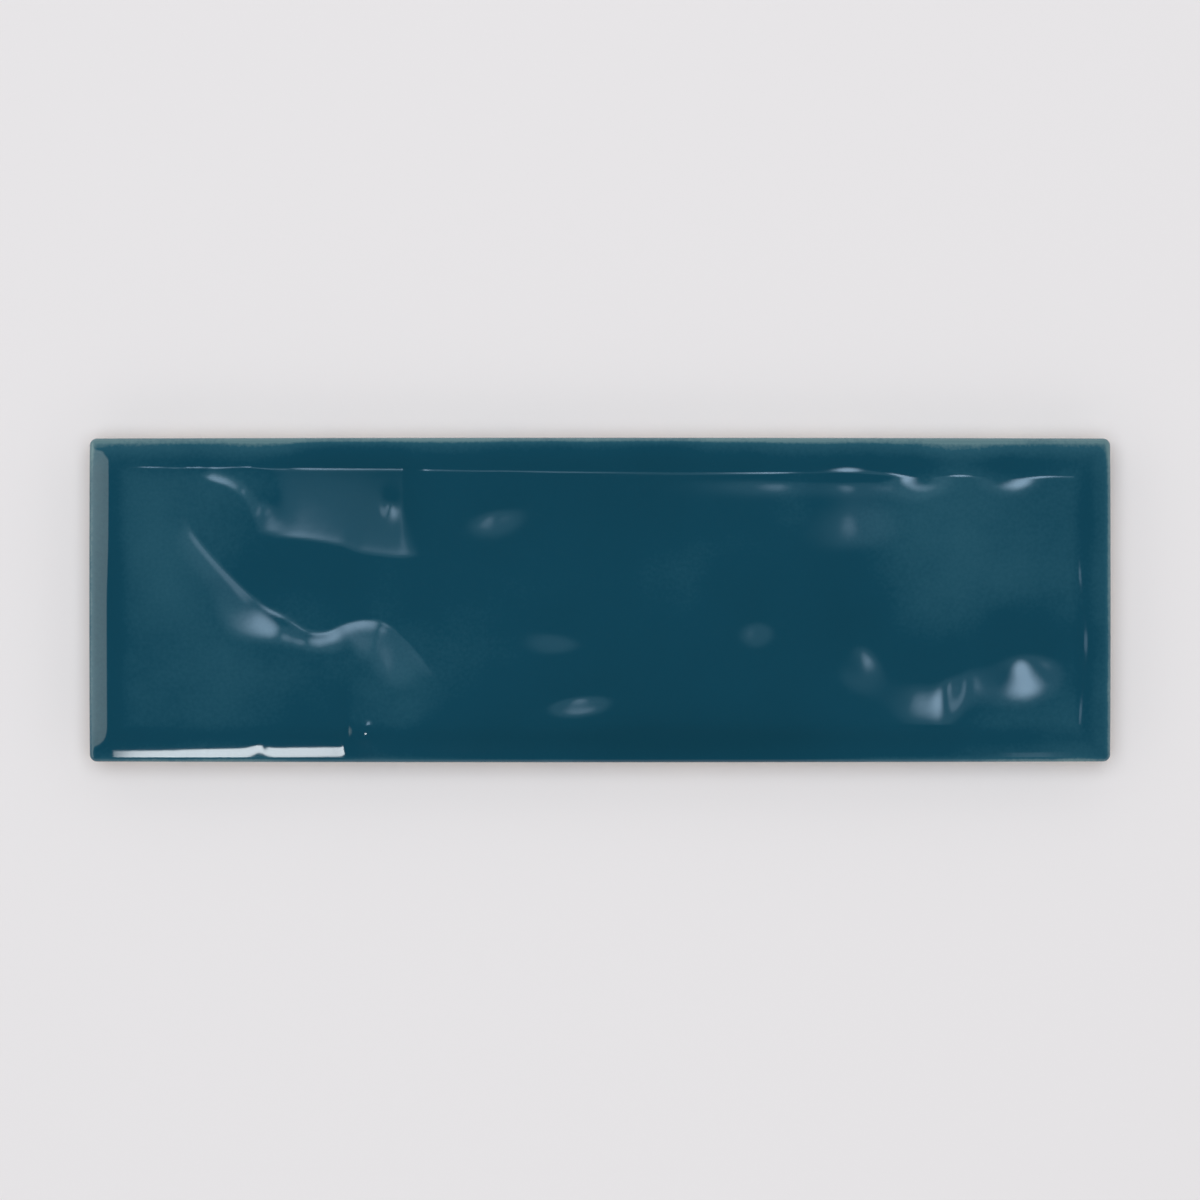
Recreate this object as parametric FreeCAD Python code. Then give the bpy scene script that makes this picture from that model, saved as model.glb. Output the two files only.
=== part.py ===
import FreeCAD, Part
import math
import os

# A glazed ceramic wall tile of long brick format, with the uneven look of hand-made work.
# It is one fired piece. The face is domed slightly and rolls over at the edges, and broad
# swells and hollows run across it. The sides lean in a little towards the back, and the back
# carries a shallow key pattern of pockets between ribs, for the adhesive.
#
# The origin is the middle of the back, on the plane that the tile is bedded on.
# +X runs along the tile, +Y across it and +Z out of the glazed face. Lengths are millimetres.

# Overall size
length = 198.0
width = 63.0
edge_height = 6.6          # from the back to where the face meets the sides
rim_rise = 1.6             # how much higher the middle of the face is than its edge

# How far in from each edge the face is still rolling over
rim_reach_left = 4.2
rim_reach_right = 7.0
rim_reach_low = 7.0
rim_reach_high_left = 5.6
rim_reach_high_right = 7.8
rim_power = 1.35           # roundness of the roll: 1 is a flat bevel

# Outline
corner_radius = 1.4
long_side_bow = 0.15       # how far the middle of a long side stands proud of its corners
short_side_bow = 0.1
arris_radius = 0.9         # where the face turns down into the sides

# Sides and back
side_lean = 0.35           # how far each side leans in over the height of the tile
back_chamfer = 0.8
land_width = 5.0           # flat border round the key pattern
rib_width = 2.2
pocket_depth = 0.6
pocket_columns = 8
pocket_rows = 4
pocket_corner_radius = 1.2
pocket_draft = 0.3         # how much smaller a pocket's floor is than its mouth, at each side

# The swells and hollows of the face: middle x and y, half-length and half-width, turn in degrees, height
swells = [
    (-92.0, 2.0, 20.0, 34.0, 0.0, -0.16),
    (-20.0, -12.0, 26.0, 18.0, -20.0, 0.15),
    (26.0, 4.0, 30.0, 20.0, 12.0, 0.20),
    (74.0, 2.0, 16.0, 12.0, 25.0, 0.12),
    (-61.5, -8.6, 6.0, 6.6, 0.0, 0.22),
    (-73.0, -12.0, 8.0, 7.5, 0.0, 0.28),
    (-20.0, 18.0, 6.0, 4.0, 20.0, -0.17),
    (-4.0, -17.6, 9.0, 4.2, 8.0, -0.39),
    (-8.0, -5.0, 10.0, 6.0, -12.0, -0.34),
    (30.0, -2.5, 6.0, 6.0, -12.0, -0.40),
    (48.5, 21.0, 10.0, 13.0, 0.0, -0.56),
    (50.0, -6.0, 7.0, 9.0, 0.0, -0.84),
    (61.0, -12.5, 7.5, 9.5, -3.0, -0.72),
    (80.5, -8.5, 10.5, 9.5, 8.0, -0.98),
    (62.0, 28.0, 4.5, 4.4, 0.0, -0.42),
    (79.0, 28.0, 5.0, 4.4, -6.0, -0.42),
]

# Waves are low steps across the face. Each follows a smooth line through a few points, and the
# ground on the left of the line, as one walks along it, changes height, steepest at the line. After
# the points come that change, the distance over which it levels out, the distance at which the ground
# has come back, and how far in from its start and from its end the wave fades away.
waves = [
    (
        [(-27.0, -21.0), (-30.7, -15.7), (-36.0, -9.5), (-41.0, -4.8), (-45.1, -3.9),
         (-49.1, -4.6), (-53.0, -6.4), (-56.9, -6.2), (-60.9, -3.8), (-65.5, -1.0),
         (-71.4, 4.7), (-77.3, 11.3), (-86.0, 21.0)],
        0.73, 12.0, 14.0, 9.0, 13.0,
    ),
    (
        [(-74.0, 13.2), (-68.0, 12.3), (-62.8, 12.1), (-56.9, 11.7),
         (-50.3, 10.6), (-46.0, 9.2), (-38.5, 8.3), (-32.0, 8.6)],
        -0.84, 21.0, 30.0, 14.0, 7.0,
    ),
    (
        [(-79.0, 24.5), (-75.5, 23.2), (-72.0, 22.0), (-69.0, 19.9), (-67.2, 15.9), (-66.8, 12.0)],
        -0.16, 3.0, 5.0, 4.0, 7.0,
    ),
    (
        [(-48.6, -6.5), (-49.2, -33.5)],
        0.70, 2.4, 13.5, 20.0, 2.0,
    ),
]
wave_softness = 0.6        # how far the foot of a wave is rounded
wave_foot = 6.0            # how many times that distance the rounding can reach ahead of the line
steps_per_point = 6        # how finely a wave's line is followed between its points

# How closely the face is sampled before a smooth surface is put through it
sample_step = 2.5
sample_step_rim = 1.2
overrun = 1.5              # how far the surface runs past the outline, so that it cuts cleanly


def rolled(distance, reach):
    """Height of the rolled edge at a distance in from it, as a share of the rise."""
    if distance >= reach:
        return 1.0
    return 1.0 - (1.0 - distance / reach) ** rim_power


def reach_high(x):
    """How far in from the upper edge the face is still rolling over, wider towards the right."""
    return rim_reach_high_left + (rim_reach_high_right - rim_reach_high_left) * (x / length + 0.5)


def rim_share(x, y):
    """Height of the face above its edge at a point, as a share of the rise."""
    return (
        rolled(x + length / 2, rim_reach_left)
        * rolled(length / 2 - x, rim_reach_right)
        * rolled(y + width / 2, rim_reach_low)
        * rolled(width / 2 - y, reach_high(x))
    )


def swell_height(x, y):
    """Sum of the swells at a point."""
    total = 0.0
    for middle_x, middle_y, half_length, half_width, turn, height in swells:
        cosine = math.cos(math.radians(turn))
        sine = math.sin(math.radians(turn))
        along = ((x - middle_x) * cosine + (y - middle_y) * sine) / half_length
        across = ((y - middle_y) * cosine - (x - middle_x) * sine) / half_width
        total += height * math.exp(-(along * along + across * across))
    return total


def smooth_line(points):
    """Closely spaced points on a smooth curve through the given ones."""
    last = len(points) - 1
    curve = []
    for i in range(last):
        start, end = points[i], points[i + 1]
        before = points[i - 1] if i > 0 else (2 * start[0] - end[0], 2 * start[1] - end[1])
        after = points[i + 2] if i + 2 <= last else (2 * end[0] - start[0], 2 * end[1] - start[1])
        for k in range(steps_per_point):
            t = k / steps_per_point
            curve.append(tuple(
                (2 * t**3 - 3 * t**2 + 1) * start[axis]
                + (t**3 - 2 * t**2 + t) * (end[axis] - before[axis]) / 2
                + (3 * t**2 - 2 * t**3) * end[axis]
                + (t**3 - t**2) * (after[axis] - start[axis]) / 2
                for axis in (0, 1)
            ))
    curve.append(points[last])
    return curve


def place_on(curve, x, y):
    """How far a point lies to the left of a curve, how far along it, and how long the curve is."""
    nearest = math.inf
    left = along = run = 0.0
    for (start_x, start_y), (end_x, end_y) in zip(curve, curve[1:]):
        step = math.hypot(end_x - start_x, end_y - start_y)
        ahead_x, ahead_y = (end_x - start_x) / step, (end_y - start_y) / step
        dx, dy = x - start_x, y - start_y
        reached = min(step, max(0.0, dx * ahead_x + dy * ahead_y))
        gap = math.hypot(dx - reached * ahead_x, dy - reached * ahead_y)
        if gap < nearest:
            nearest = gap
            left = math.copysign(gap, ahead_x * dy - ahead_y * dx)
            along = run + reached
        run += step
    return left, along, run


def eased(share):
    """A share from 0 to 1 that starts and ends gently."""
    share = min(1.0, max(0.0, share))
    return share * share * (3.0 - 2.0 * share)


def wave_height(x, y, curves):
    """Sum of the waves at a point, given the curve of each wave."""
    total = 0.0
    for (points, change, level_out, comes_back, starts, ends), curve in zip(waves, curves):
        left, along, run = place_on(curve, x, y)
        if left < -wave_foot * wave_softness:
            continue
        past_foot = wave_softness * math.log1p(math.exp(left / wave_softness))
        step = 1.0 - math.exp(-past_foot / level_out)
        step *= math.exp(-((max(0.0, left) / comes_back) ** 4))
        total += change * step * eased(along / starts) * eased((run - along) / ends)
    return total


def face_height(x, y, curves):
    """Height of the glazed face above the back at a point."""
    share = rim_share(x, y)
    relief = swell_height(x, y) + wave_height(x, y, curves)
    return edge_height + rim_rise * share + max(0.0, share) * relief


def stations(half, reach_low, reach_high):
    """Sample positions across the face, closer together where the edge rolls over."""
    places = []
    low_end = -half + reach_low
    high_end = half - reach_high
    start = -half - overrun
    low_count = math.ceil((low_end - start) / sample_step_rim)
    places += [start + (low_end - start) * i / low_count for i in range(low_count)]
    middle_count = math.ceil((high_end - low_end) / sample_step)
    places += [low_end + (high_end - low_end) * i / middle_count for i in range(middle_count)]
    high_count = math.ceil((half + overrun - high_end) / sample_step_rim)
    places += [high_end + (half + overrun - high_end) * i / high_count for i in range(high_count + 1)]
    return places


def face_surface():
    """One smooth surface through the sampled heights of the face."""
    curves = [smooth_line(wave[0]) for wave in waves]
    reach_high_most = max(rim_reach_high_left, rim_reach_high_right)
    points = []
    for x in stations(length / 2, rim_reach_left, rim_reach_right):
        row = []
        for y in stations(width / 2, rim_reach_low, reach_high_most):
            row.append(FreeCAD.Vector(x, y, face_height(x, y, curves)))
        points.append(row)
    surface = Part.BSplineSurface()
    surface.interpolate(points)
    return surface


def bowed_outline(inset, height):
    """The tile's outline at a height, each side bowed out a little and the corners rounded."""
    half_x = length / 2 - inset
    half_y = width / 2 - inset
    corner_x = half_x - short_side_bow
    corner_y = half_y - long_side_bow
    corners = [
        FreeCAD.Vector(-corner_x, -corner_y, height),
        FreeCAD.Vector(corner_x, -corner_y, height),
        FreeCAD.Vector(corner_x, corner_y, height),
        FreeCAD.Vector(-corner_x, corner_y, height),
    ]
    middles = [
        FreeCAD.Vector(0, -half_y, height),
        FreeCAD.Vector(half_x, 0, height),
        FreeCAD.Vector(0, half_y, height),
        FreeCAD.Vector(-half_x, 0, height),
    ]
    sides = []
    for i in range(4):
        sides.append(Part.Arc(corners[i], middles[i], corners[(i + 1) % 4]).toShape())
    slab = Part.Face(Part.Wire(sides)).extrude(FreeCAD.Vector(0, 0, 1))
    upright = [e for e in slab.Edges if e.BoundBox.ZLength > e.BoundBox.XLength + e.BoundBox.YLength]
    slab = slab.makeFillet(corner_radius, upright)
    base = min(slab.Faces, key=lambda f: f.CenterOfMass.z)
    return base.OuterWire


def side_inset(height):
    """How far in from the arris a side lies at a height above the back."""
    return side_lean * (1.0 - height / edge_height)


def blank():
    """The pressed block before its face is shaped: chamfered at the back, sides leaning out."""
    block_height = edge_height + rim_rise + 3.0
    outlines = [
        bowed_outline(side_inset(0.0) + back_chamfer, 0.0),
        bowed_outline(side_inset(back_chamfer), back_chamfer),
        bowed_outline(side_inset(block_height), block_height),
    ]
    return Part.makeLoft(outlines, True, True)


def air_over_face():
    """Everything above the glazed face, as a solid to cut away."""
    sheet = Part.Face(face_surface())
    return sheet.extrude(FreeCAD.Vector(0, 0, 20.0 + rim_rise))


def rounded_rectangle(middle, size_x, size_y, radius):
    """A rectangle with rounded corners, as a closed wire about a middle point."""
    half_x = size_x / 2
    half_y = size_y / 2
    edges = []
    signs = [(1, 1), (-1, 1), (-1, -1), (1, -1)]
    tips = []
    for i, (sx, sy) in enumerate(signs):
        centre = middle + FreeCAD.Vector(sx * (half_x - radius), sy * (half_y - radius), 0)
        start = math.radians(90 * i)
        at = [
            centre + FreeCAD.Vector(math.cos(a), math.sin(a), 0) * radius
            for a in (start, start + math.pi / 4, start + math.pi / 2)
        ]
        tips.append(at)
    for i in range(4):
        edges.append(Part.Arc(*tips[i]).toShape())
        edges.append(Part.LineSegment(tips[i][2], tips[(i + 1) % 4][0]).toShape())
    return Part.Wire(edges)


def key_pockets():
    """The shallow pockets of the back, as one compound of solids to cut away."""
    field_x = length - 2 * land_width
    field_y = width - 2 * land_width
    size_x = (field_x - (pocket_columns - 1) * rib_width) / pocket_columns
    size_y = (field_y - (pocket_rows - 1) * rib_width) / pocket_rows
    pockets = []
    for column in range(pocket_columns):
        for row in range(pocket_rows):
            x = -field_x / 2 + size_x / 2 + column * (size_x + rib_width)
            y = -field_y / 2 + size_y / 2 + row * (size_y + rib_width)
            mouth = rounded_rectangle(FreeCAD.Vector(x, y, 0), size_x, size_y, pocket_corner_radius)
            floor = rounded_rectangle(
                FreeCAD.Vector(x, y, pocket_depth),
                size_x - 2 * pocket_draft,
                size_y - 2 * pocket_draft,
                pocket_corner_radius - pocket_draft,
            )
            pockets.append(Part.makeLoft([mouth, floor], True, True))
    return Part.makeCompound(pockets)


def glazed_tile():
    """The whole tile."""
    tile = blank().cut(air_over_face())
    face = max(tile.Faces, key=lambda f: f.CenterOfMass.z)
    tile = tile.makeFillet(arris_radius, face.OuterWire.Edges)
    tile = tile.cut(key_pockets())
    return tile.Solids[0]


def main():
    """Writes the part."""
    os.makedirs("parts", exist_ok=True)
    tile = glazed_tile()
    tile.exportStep("parts/glazed_tile.step")
    box = tile.optimalBoundingBox(False, False)
    print("glazed_tile", "valid", tile.isValid(), "volume", round(tile.Volume, 1))
    print("size", round(box.XLength, 2), round(box.YLength, 2), round(box.ZLength, 2))


main()
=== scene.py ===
"""A glazed ceramic wall tile of long brick format, waved like hand-made work, and its studio.

The tile is one pressed and fired piece. Its face carries a deep teal gloss glaze over low waves,
swells and hollows. The glaze rolls over the arris, runs part of the way down the sides and stops
at an uneven line. Below that, and on the keyed back, the pale fired clay is bare.

Lengths in the classes are millimetres, because tiles are made to them, and meshes are metres.
"""

import logging
import math
from dataclasses import dataclass
from enum import Enum, IntEnum

import bpy
import numpy as np
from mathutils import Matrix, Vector


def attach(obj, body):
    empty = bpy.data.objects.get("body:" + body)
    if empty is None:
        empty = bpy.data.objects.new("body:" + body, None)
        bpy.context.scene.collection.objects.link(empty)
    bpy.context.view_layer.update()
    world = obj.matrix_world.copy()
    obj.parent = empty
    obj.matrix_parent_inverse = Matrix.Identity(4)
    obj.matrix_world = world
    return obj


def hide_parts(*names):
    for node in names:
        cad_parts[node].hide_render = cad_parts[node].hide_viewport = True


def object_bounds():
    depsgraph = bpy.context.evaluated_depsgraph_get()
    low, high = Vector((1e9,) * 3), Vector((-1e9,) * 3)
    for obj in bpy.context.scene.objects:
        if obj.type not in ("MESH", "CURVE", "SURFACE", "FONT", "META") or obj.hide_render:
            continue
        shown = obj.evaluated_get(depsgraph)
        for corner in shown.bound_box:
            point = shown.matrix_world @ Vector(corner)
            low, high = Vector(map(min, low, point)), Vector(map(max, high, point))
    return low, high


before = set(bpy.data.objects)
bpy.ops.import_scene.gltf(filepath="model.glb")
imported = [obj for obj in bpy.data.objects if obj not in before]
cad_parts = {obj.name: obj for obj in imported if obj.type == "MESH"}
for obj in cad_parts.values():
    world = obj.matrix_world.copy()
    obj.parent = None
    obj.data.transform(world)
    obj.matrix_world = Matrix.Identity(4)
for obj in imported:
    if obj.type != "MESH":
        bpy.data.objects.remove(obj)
CAD_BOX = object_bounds()

MM = 0.001
NODE = "glazed_tile"
BODY = "root"

# The middle part of a noise texture's output, which most of its values fall in.
NOISE_LOW = 0.3
NOISE_HIGH = 0.7

log = logging.getLogger("tile")


class Slot(IntEnum):
    """Material slots of the tile's mesh, in order."""

    GLAZE = 0
    CLAY = 1


class Shape(Enum):
    """Outlines that a lamp's glow can have."""

    ROUND = "round"
    SQUARE = "square"


def linear(hex_colour: str) -> tuple[float, float, float, float]:
    """Turn an sRGB hex colour to linear light.

    Args:
        hex_colour: Six hex digits after a hash sign.

    Returns:
        Red, green, blue and an alpha of 1.
    """
    channels = [int(hex_colour[i : i + 2], 16) / 255 for i in (1, 3, 5)]
    lit = [c / 12.92 if c <= 0.04045 else ((c + 0.055) / 1.055) ** 2.4 for c in channels]
    return (lit[0], lit[1], lit[2], 1.0)


def per_mm(size: float) -> float:
    """Scale of a noise texture on Object coordinates whose features measure size millimetres."""
    return 1.0 / (size * MM)


def add_node(tree: bpy.types.NodeTree, kind: str, settings: dict | None = None,
             inputs: dict | None = None) -> bpy.types.Node:
    """Add a node, set its properties and fill or link its inputs.

    Args:
        tree: The tree that gets the node.
        kind: Blender's type name of the node.
        settings: Properties of the node by name.
        inputs: Values or output sockets, by the input's name or index.

    Returns:
        The new node.
    """
    node = tree.nodes.new(kind)
    for name, value in (settings or {}).items():
        setattr(node, name, value)
    for key, value in (inputs or {}).items():
        if isinstance(value, bpy.types.NodeSocket):
            tree.links.new(value, node.inputs[key])
        else:
            node.inputs[key].default_value = value
    return node


def new_material(name: str) -> tuple[bpy.types.Material, bpy.types.NodeTree]:
    """Make a material with an empty tree.

    Args:
        name: The material's name.

    Returns:
        The material and its tree.
    """
    material = bpy.data.materials.new(name)
    material.use_nodes = True
    material.node_tree.nodes.clear()
    return material, material.node_tree


def eased(share: np.ndarray) -> np.ndarray:
    """A share from 0 to 1 that starts and ends gently."""
    held = np.clip(share, 0.0, 1.0)
    return held * held * (3.0 - 2.0 * held)


@dataclass(frozen=True)
class Swell:
    """One rounded swell of the face, or a hollow where its height is negative.

    It is turned by degrees, and its halves are where it has sunk to about a third of its height.
    """

    x: float
    y: float
    half_length: float
    half_width: float
    turn: float
    height: float

    def at(self, x: np.ndarray, y: np.ndarray) -> np.ndarray:
        """Height that the swell adds at points."""
        cosine = math.cos(math.radians(self.turn))
        sine = math.sin(math.radians(self.turn))
        along = ((x - self.x) * cosine + (y - self.y) * sine) / self.half_length
        across = ((y - self.y) * cosine - (x - self.x) * sine) / self.half_width
        return self.height * np.exp(-(along * along + across * across))


@dataclass(frozen=True)
class Wave:
    """A low step across the face along a smooth line, steepest at the line.

    The ground on the left of the line changes height, levels out over one distance and comes back
    at another. The wave fades in and out over its start and its end. The lip is the glaze that
    gathers along the crest: a little extra height, gained over a very short way.
    """

    line: tuple[tuple[float, float], ...]
    change: float
    level_out: float
    comes_back: float
    starts: float
    ends: float
    lip: float = 0.0
    lip_width: float = 0.6
    softness: float = 0.25
    steps_per_point: int = 14

    def curve(self) -> np.ndarray:
        """Closely spaced points on a smooth curve through the wave's points."""
        given = np.array(self.line)
        before = np.vstack((2 * given[0] - given[1], given[:-1]))
        after = np.vstack((given[1:], 2 * given[-1] - given[-2]))
        pull = (after - before) / 2
        t = np.arange(self.steps_per_point)[:, None, None] / self.steps_per_point
        spans = (
            (2 * t**3 - 3 * t**2 + 1) * given[:-1]
            + (t**3 - 2 * t**2 + t) * pull[:-1]
            + (3 * t**2 - 2 * t**3) * given[1:]
            + (t**3 - t**2) * pull[1:]
        )
        return np.vstack((spans.transpose(1, 0, 2).reshape(-1, 2), given[-1]))

    def place_on(self, x: np.ndarray, y: np.ndarray) -> tuple[np.ndarray, np.ndarray, float]:
        """How far points lie to the left of the line, how far along it, and the line's length."""
        curve = self.curve()
        nearest = np.full(x.shape, np.inf)
        left, along = np.zeros(x.shape), np.zeros(x.shape)
        run = 0.0
        for start, end in zip(curve[:-1], curve[1:]):
            step = math.hypot(*(end - start))
            ahead_x, ahead_y = (end - start) / step
            dx, dy = x - start[0], y - start[1]
            reached = np.clip(dx * ahead_x + dy * ahead_y, 0.0, step)
            gap = np.hypot(dx - reached * ahead_x, dy - reached * ahead_y)
            nearer = gap < nearest
            nearest = np.where(nearer, gap, nearest)
            left = np.where(nearer, np.copysign(gap, ahead_x * dy - ahead_y * dx), left)
            along = np.where(nearer, run + reached, along)
            run += step
        return left, along, run

    def at(self, x: np.ndarray, y: np.ndarray) -> np.ndarray:
        """Height that the wave adds at points."""
        left, along, run = self.place_on(x, y)
        past_foot = self.softness * np.logaddexp(0.0, left / self.softness)
        step = self.change * (1.0 - np.exp(-past_foot / self.level_out))
        step += math.copysign(self.lip, self.change) * (1.0 - np.exp(-past_foot / self.lip_width))
        step *= np.exp(-((np.clip(left, 0.0, None) / self.comes_back) ** 4))
        return step * eased(along / self.starts) * eased((run - along) / self.ends)


@dataclass
class TileForm:
    """Sizes and relief of the tile, as it is pressed.

    The sizes, swells and waves follow those of the part. The fine swells are relief of the glaze
    that is too fine for it.
    """

    length: float
    width: float
    top: float
    edge_height: float = 6.6
    rim_rise: float = 1.6
    reach_left: float = 4.2
    reach_right: float = 7.0
    reach_low: float = 7.0
    reach_high_left: float = 5.6
    reach_high_right: float = 7.8
    rim_power: float = 1.35
    clearance: float = 0.005
    corner_radius: float = 1.4
    long_side_bow: float = 0.15
    short_side_bow: float = 0.1
    arris_radius: float = 0.9
    side_lean: float = 0.35
    back_chamfer: float = 0.8
    swells: tuple[Swell, ...] = (
        Swell(-92.0, 2.0, 20.0, 34.0, 0.0, -0.16),
        Swell(-20.0, -12.0, 26.0, 18.0, -20.0, 0.15),
        Swell(26.0, 4.0, 30.0, 20.0, 12.0, 0.20),
        Swell(74.0, 2.0, 16.0, 12.0, 25.0, 0.12),
        Swell(-61.5, -8.6, 6.0, 6.6, 0.0, 0.22),
        Swell(-73.0, -12.0, 8.0, 7.5, 0.0, 0.28),
        Swell(-20.0, 18.0, 6.0, 4.0, 20.0, -0.17),
        Swell(-4.0, -17.6, 9.0, 4.2, 8.0, -0.39),
        Swell(-8.0, -5.0, 10.0, 6.0, -12.0, -0.34),
        Swell(30.0, -2.5, 6.0, 6.0, -12.0, -0.40),
        Swell(48.5, 21.0, 10.0, 13.0, 0.0, -0.56),
        Swell(50.0, -6.0, 7.0, 9.0, 0.0, -0.84),
        Swell(61.5, -13.6, 8.5, 9.5, -3.0, -0.74),
        Swell(80.5, -8.5, 10.5, 9.5, 8.0, -0.98),
        Swell(62.0, 27.8, 4.5, 4.4, 0.0, -0.46),
        Swell(79.0, 27.8, 5.0, 4.4, -6.0, -0.46),
    )
    waves: tuple[Wave, ...] = (
        # The long wave, from the lower middle up to the left.
        Wave(
            ((-27.0, -21.0), (-30.7, -15.7), (-36.0, -9.5), (-41.0, -4.8), (-45.1, -3.9),
             (-49.1, -4.6), (-53.0, -6.4), (-56.9, -6.2), (-60.9, -3.8), (-65.5, -1.0),
             (-71.4, 4.7), (-77.3, 11.3), (-79.6, 15.5), (-80.2, 21.0), (-80.2, 32.0)),
            change=0.72, level_out=12.0, comes_back=14.0, starts=9.0, ends=3.0, lip=0.035,
        ),
        # The short wave, with the pale patch above it.
        Wave(
            ((-72.0, 13.0), (-68.0, 12.4), (-62.8, 12.1), (-56.9, 11.7),
             (-50.3, 10.6), (-46.0, 9.2), (-38.5, 8.3), (-32.0, 8.6)),
            change=-0.84, level_out=21.0, comes_back=30.0, starts=14.0, ends=7.0, lip=0.018,
        ),
        # The curl at the left of that patch.
        Wave(
            ((-79.0, 24.5), (-75.5, 23.2), (-72.0, 22.0), (-69.0, 19.9), (-67.2, 15.9), (-66.8, 12.5)),
            change=-0.15, level_out=3.0, comes_back=5.0, starts=4.0, ends=6.0, lip=0.020,
        ),
        # The fold, from the crest of the long wave down to the lower rim.
        Wave(
            ((-48.6, -6.5), (-49.2, -33.5)),
            change=0.66, level_out=1.3, comes_back=13.0, starts=22.0, ends=2.0,
        ),
    )
    fine_swells: tuple[Swell, ...] = (
        Swell(-53.5, -10.0, 4.0, 5.0, 0.0, 0.11),
        Swell(-40.5, 18.6, 1.6, 2.4, 0.0, -0.06),
        Swell(43.0, 23.4, 17.0, 2.2, 0.0, -0.09),
        Swell(67.5, -13.0, 3.5, 10.0, -7.0, -0.22),
        Swell(-66.0, -28.0, 1.6, 3.0, 0.0, 0.08),
        Swell(-45.5, -25.8, 2.2, 2.2, 0.0, 0.24),
    )

    def __post_init__(self) -> None:
        """Lower the face where its fine relief would stand above the part's highest point."""
        x = np.linspace(-self.length / 2, self.length / 2, 400)
        y = np.linspace(-self.width / 2, self.width / 2, 130)
        highest = float(self.face_height(*np.meshgrid(x, y)).max())
        self.edge_height -= max(0.0, highest + self.clearance - self.top)

    def rolled(self, distance: np.ndarray, reach: float) -> np.ndarray:
        """Height of the rolled edge at a distance in from it, as a share of the rise."""
        return 1.0 - np.clip(1.0 - distance / reach, 0.0, None) ** self.rim_power

    def reach_high(self, x: np.ndarray) -> np.ndarray:
        """How far in from the upper edge the face still rolls over, wider towards the right."""
        widening = self.reach_high_right - self.reach_high_left
        return self.reach_high_left + widening * (x / self.length + 0.5)

    def rim_share(self, x: np.ndarray, y: np.ndarray) -> np.ndarray:
        """Height of the face above its edge at points, as a share of the rise."""
        return (
            self.rolled(x + self.length / 2, self.reach_left)
            * self.rolled(self.length / 2 - x, self.reach_right)
            * self.rolled(y + self.width / 2, self.reach_low)
            * self.rolled(self.width / 2 - y, self.reach_high(x))
        )

    def relief(self, x: np.ndarray, y: np.ndarray) -> np.ndarray:
        """Height of the swells, hollows and waves at points, faded out by the rim."""
        forms = (*self.swells, *self.waves, *self.fine_swells)
        total = sum(form.at(x, y) for form in forms)
        return np.clip(self.rim_share(x, y), 0.0, None) * total

    def face_height(self, x: np.ndarray, y: np.ndarray) -> np.ndarray:
        """Height of the glazed face above the back at points."""
        return self.edge_height + self.rim_rise * self.rim_share(x, y) + self.relief(x, y)

    def side_inset(self, height: np.ndarray) -> np.ndarray:
        """How far in from the arris a side lies at a height above the back."""
        return self.side_lean * (1.0 - height / self.edge_height)


@dataclass(frozen=True)
class GlazeLayAndPaintedLight:
    """How thick the glaze lies on the face, with painted light laid in: 0 is worn thin, 0.5 is plain
    and 1 is pooled.

    It runs off crests into hollows. A band inside the rim is painted shade, darker where the rolled
    edge turns from the light. The face is made paler along the upper edge, and the glaze is thin on
    the arris. Broad patches add painted sheen, paler towards both ends, and painted shade, darker
    along the lower middle.
    """

    plain: float = 0.5
    for_each_mm: float = 0.22
    most_in_hollows: float = 0.16
    most_off_crests: float = 0.10
    # Painted shade: a darker band along the rolled rim, where it turns from the light.
    band: float = 0.12
    shade_band_from_edge: float = 5.0
    shade_band_half_width: float = 2.0
    # The face is made paler along the upper edge.
    off_upper_edge: float = 0.36
    upper_edge_reach: float = 2.4
    off_arris: float = 0.24
    arris_half_width: float = 0.3
    arris_reach: float = 0.7
    # Broad patches added to the depth: painted sheen makes both ends paler, and painted shade makes the
    # lower middle darker.
    painted_sheen_and_shade: tuple[Swell, ...] = (
        Swell(-92.0, 0.0, 40.0, 70.0, 0.0, -0.20),
        Swell(78.0, 4.0, 36.0, 60.0, 0.0, -0.25),
        Swell(12.0, -27.0, 36.0, 6.0, 0.0, 0.28),
    )

    def at(self, form: TileForm, x: np.ndarray, y: np.ndarray) -> np.ndarray:
        """How thick the glaze lies at points of a tile's face, with painted sheen and shade laid in.

        Args:
            form: The tile's sizes and relief.
            x: The points' places along the tile.
            y: Their places across it.

        Returns:
            One value for each point, which may lie outside 0 to 1.
        """
        from_upper_edge = form.width / 2 - y
        from_edge = np.minimum(form.length / 2 - np.abs(x), form.width / 2 - np.abs(y))
        from_arris = np.clip(from_edge - self.arris_half_width, 0.0, None)
        run_off = np.clip(self.for_each_mm * form.relief(x, y), -self.most_in_hollows, self.most_off_crests)
        depth = self.plain - run_off
        # Painted sheen at both ends and painted shade along the lower middle.
        depth += sum(painted_patch.at(x, y) for painted_patch in self.painted_sheen_and_shade)
        # Painted shade along the rolled rim.
        depth += self.band * np.exp(-(((from_edge - self.shade_band_from_edge) / self.shade_band_half_width) ** 2))
        depth -= self.off_upper_edge * np.exp(-np.clip(from_upper_edge, 0.0, None) / self.upper_edge_reach)
        depth -= self.off_arris * np.exp(-((from_arris / self.arris_reach) ** 2))
        return depth


@dataclass(frozen=True)
class Outline:
    """The tile's outline as points, with the direction outwards at each."""

    points: np.ndarray
    outward: np.ndarray

    def moved_in(self, distance: np.ndarray) -> np.ndarray:
        """The outline's points, each moved in by its distance."""
        return self.points - self.outward * distance[:, None]

    def ring(self, distance: np.ndarray, height: np.ndarray) -> np.ndarray:
        """The outline's points, each moved in by its distance and set at its height."""
        return np.column_stack((self.moved_in(distance), height))


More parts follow.
